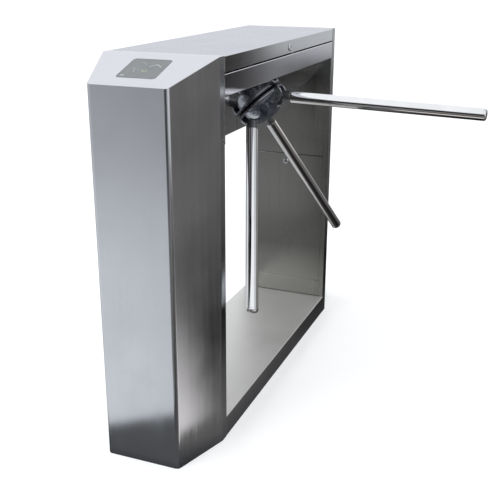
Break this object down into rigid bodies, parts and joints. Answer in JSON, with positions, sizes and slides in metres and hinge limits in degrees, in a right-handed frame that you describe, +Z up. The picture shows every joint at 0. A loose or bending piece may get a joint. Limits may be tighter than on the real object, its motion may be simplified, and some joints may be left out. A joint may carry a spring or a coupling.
{
  "type": "tripod turnstile",
  "caption": "Waist-high bridge-type tripod turnstile with two posts, a lidded mechanism box, a slanted hub panel and three tube arms that turn and fold.",
  "frame": {"origin": "plan centre of the cabinet, on the floor", "axes": "+Z up, +X to the passage side where the arms stand, +Y along the cabinet from the near end (with -Y) to the far end"},
  "size_m": [0.8435, 1.237, 0.98],
  "materials": {
    "stainless_sheet": "fine vertical brushed grain",
    "chrome": "polished",
    "black_casting": "satin black",
    "satin_silver": "satin",
    "dark_steel": "dark satin",
    "machined_steel": "turned",
    "zinc_plate": "dull zinc plating",
    "black_plastic": "matt",
    "smoked_window": "smoked, smooth",
    "circuit_board": "solder mask",
    "rubber": "matt",
    "brass": "machined",
    "coil_case": "matt black"
  },
  "bodies": {
    "cabinet": {"front_post_shell": "stainless_sheet", "rear_post_shell": "stainless_sheet", "base_frame": "stainless_sheet", "mechanism_housing": "stainless_sheet", "front_inner_panel": "stainless_sheet", "rear_inner_panel": "stainless_sheet", "front_display_window": "smoked_window", "rear_display_window": "smoked_window", "front_display_board": "circuit_board", "rear_display_board": "circuit_board", "lid_strike": "zinc_plate", "lid_hinge_leaf_fixed": "zinc_plate", "lid_hinge_pin": "machined_steel", "shaft_seal_ring": "rubber", "outer_bearing": "machined_steel", "inner_bearing": "machined_steel", "bearing_housing": "black_casting", "mounting_plate": "zinc_plate", "solenoid_a_body": "coil_case", "solenoid_b_body": "coil_case", "damper_body": "coil_case", "counting_sensor": "black_plastic", "controller_board": "circuit_board", "power_supply": "zinc_plate", "anchor_bolt_1": "zinc_plate", "anchor_bolt_2": "zinc_plate", "anchor_bolt_3": "zinc_plate", "anchor_bolt_4": "zinc_plate"},
    "lid": {"lid_cover": "stainless_sheet", "lid_hinge_leaf_moving": "zinc_plate"},
    "lid_lock": {"lid_lock_barrel": "chrome", "lid_lock_cam": "zinc_plate"},
    "front_panel": {"front_service_panel": "stainless_sheet"},
    "front_panel_lock": {"front_panel_lock_barrel": "chrome", "front_panel_lock_cam": "zinc_plate"},
    "rear_panel": {"rear_service_panel": "stainless_sheet"},
    "rear_panel_lock": {"rear_panel_lock_barrel": "chrome", "rear_panel_lock_cam": "zinc_plate"},
    "rotor": {"hub_body": "black_casting", "main_shaft": "machined_steel", "lock_disc": "machined_steel", "index_cam": "machined_steel", "shaft_gear": "brass", "encoder_disc": "black_plastic", "arm_1_pivot": "satin_silver", "arm_2_pivot": "satin_silver", "arm_3_pivot": "satin_silver"},
    "arm_1": {"arm_1_root": "dark_steel", "arm_1_tube": "chrome", "arm_1_end_cap": "chrome"},
    "arm_2": {"arm_2_root": "dark_steel", "arm_2_tube": "chrome", "arm_2_end_cap": "chrome"},
    "arm_3": {"arm_3_root": "dark_steel", "arm_3_tube": "chrome", "arm_3_end_cap": "chrome"},
    "damper_pinion": {"damper_pinion": "brass"},
    "index_lever": {"index_lever": "zinc_plate"},
    "solenoid_a_plunger": {"solenoid_a_plunger": "machined_steel"},
    "solenoid_b_plunger": {"solenoid_b_plunger": "machined_steel"}
  },
  "joints": [
    {"name": "rotor_turn", "type": "hinge", "parent": "cabinet", "child": "rotor", "pos_m": [0.0656, 0, 0.8078], "axis": [0.6947, 0, -0.7193], "continuous": true},
    {"name": "arm_1_fold", "type": "hinge", "parent": "rotor", "child": "arm_1", "pos_m": [0.12117, 0, 0.82727], "axis": [0, 1, 0], "range_deg": [0, 45]},
    {"name": "arm_2_fold", "type": "hinge", "parent": "rotor", "child": "arm_2", "pos_m": [0.06345, -0.04633, 0.77152], "axis": [0.623, -0.5, 0.6016], "range_deg": [0, 45]},
    {"name": "arm_3_fold", "type": "hinge", "parent": "rotor", "child": "arm_3", "pos_m": [0.06345, 0.04633, 0.77152], "axis": [-0.623, -0.5, -0.6016], "range_deg": [0, 45]},
    {"name": "damper_pinion_turn", "type": "hinge", "parent": "cabinet", "child": "damper_pinion", "pos_m": [-0.00597, 0.03507, 0.91107], "axis": [0.6947, 0, -0.7193], "continuous": true},
    {"name": "index_lever_swing", "type": "hinge", "parent": "cabinet", "child": "index_lever", "pos_m": [-0.03924, 0.055, 0.85461], "axis": [0.6947, 0, -0.7193], "range_deg": [0, 10], "stiffness_Nm_per_rad": 0.6},
    {"name": "solenoid_a_stroke", "type": "slide", "parent": "cabinet", "child": "solenoid_a_plunger", "axis": [0, 1, 0], "range_m": [0, 0.005], "stiffness_N_per_m": 150},
    {"name": "solenoid_b_stroke", "type": "slide", "parent": "cabinet", "child": "solenoid_b_plunger", "axis": [0, -1, 0], "range_m": [0, 0.005], "stiffness_N_per_m": 150},
    {"name": "lid_open", "type": "hinge", "parent": "cabinet", "child": "lid", "pos_m": [-0.153, 0, 0.9395], "axis": [0, -1, 0], "range_deg": [0, 85]},
    {"name": "lid_lock_turn", "type": "hinge", "parent": "lid", "child": "lid_lock", "pos_m": [0.1485, 0.0155, 0.958], "axis": [1, 0, 0], "range_deg": [0, 90]},
    {"name": "front_panel_tip", "type": "hinge", "parent": "cabinet", "child": "front_panel", "pos_m": [0, -0.4335, 0.06], "axis": [-1, 0, 0], "range_deg": [0, 15]},
    {"name": "front_panel_lock_turn", "type": "hinge", "parent": "front_panel", "child": "front_panel_lock", "pos_m": [0, -0.4335, 0.538], "axis": [0, -1, 0], "range_deg": [0, 90]},
    {"name": "rear_panel_tip", "type": "hinge", "parent": "cabinet", "child": "rear_panel", "pos_m": [0, 0.4335, 0.06], "axis": [1, 0, 0], "range_deg": [0, 15]},
    {"name": "rear_panel_lock_turn", "type": "hinge", "parent": "rear_panel", "child": "rear_panel_lock", "pos_m": [0, 0.4335, 0.538], "axis": [0, -1, 0], "range_deg": [0, 90]}
  ],
  "couplings": [
    {"joint": "damper_pinion_turn", "follows": "rotor_turn", "ratio": -2}
  ]
}
